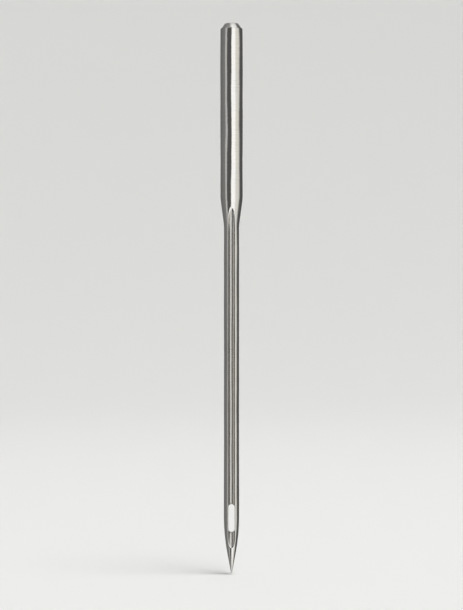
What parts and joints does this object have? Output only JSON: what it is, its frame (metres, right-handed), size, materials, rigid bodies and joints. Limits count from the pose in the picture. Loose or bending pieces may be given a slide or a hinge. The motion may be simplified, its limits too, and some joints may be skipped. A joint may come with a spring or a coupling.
{
  "type": "sewing machine needle",
  "caption": "Slim steel needle with a round shank, tapered shoulder, thread grooves, slotted eye, scarf and sharp point, for a lockstitch sewing machine.",
  "frame": {"origin": "centre of the butt's flat end face", "axes": "+Z along the needle's axis, out of the butt; the needle runs down to its point; -Y is the front with the long groove, +Y the back with the scarf, and the eye passes through along Y"},
  "size_m": [0.0016, 0.0016, 0.0386],
  "materials": {
    "plated_steel": "ground and polished steel wire with a thin bright plating"
  },
  "bodies": {
    "root": {"needle": "plated_steel"}
  },
  "joints": []
}
